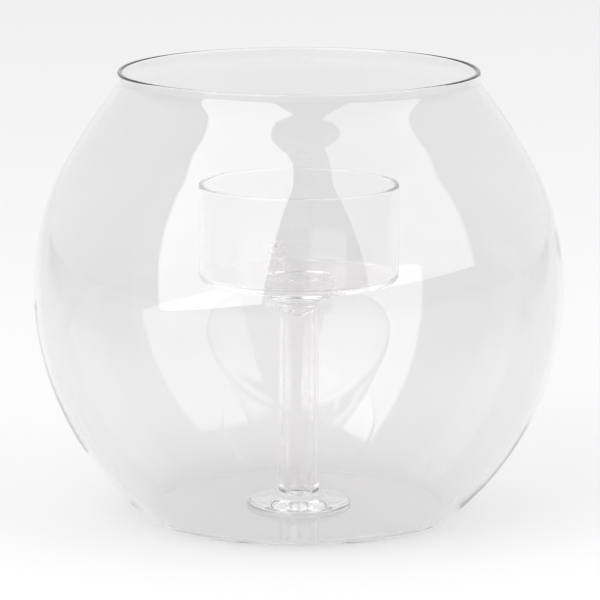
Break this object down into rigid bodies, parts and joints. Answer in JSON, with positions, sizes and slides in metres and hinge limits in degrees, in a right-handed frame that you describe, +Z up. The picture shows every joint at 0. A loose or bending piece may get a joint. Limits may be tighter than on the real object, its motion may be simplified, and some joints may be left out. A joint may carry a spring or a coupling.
{
  "type": "open glass globe wasp trap with tealight cup",
  "caption": "Open clear glass globe with a flat base; inside it a hollow glass stem holds up a small tealight cup, and bait fills the space round the stem.",
  "frame": {"origin": "centre of the globe's flat base, on the surface that it stands on", "axes": "+Z up along the globe's, stem's and cup's common axis; -Y is the side seen from the front; the cup's vent hole faces back and a little left (+Y, slightly -X)"},
  "size_m": [0.15, 0.15, 0.127],
  "materials": {
    "globe_glass": "clear, thin, fire polished",
    "stem_glass": "clear, flame worked",
    "cup_glass": "clear, thin, fire polished"
  },
  "bodies": {
    "root": {"globe_bowl": "globe_glass", "stem_foot": "stem_glass", "stem_tube": "stem_glass", "stem_top": "stem_glass", "candle_cup": "cup_glass", "vent_lip": "cup_glass"}
  },
  "joints": []
}
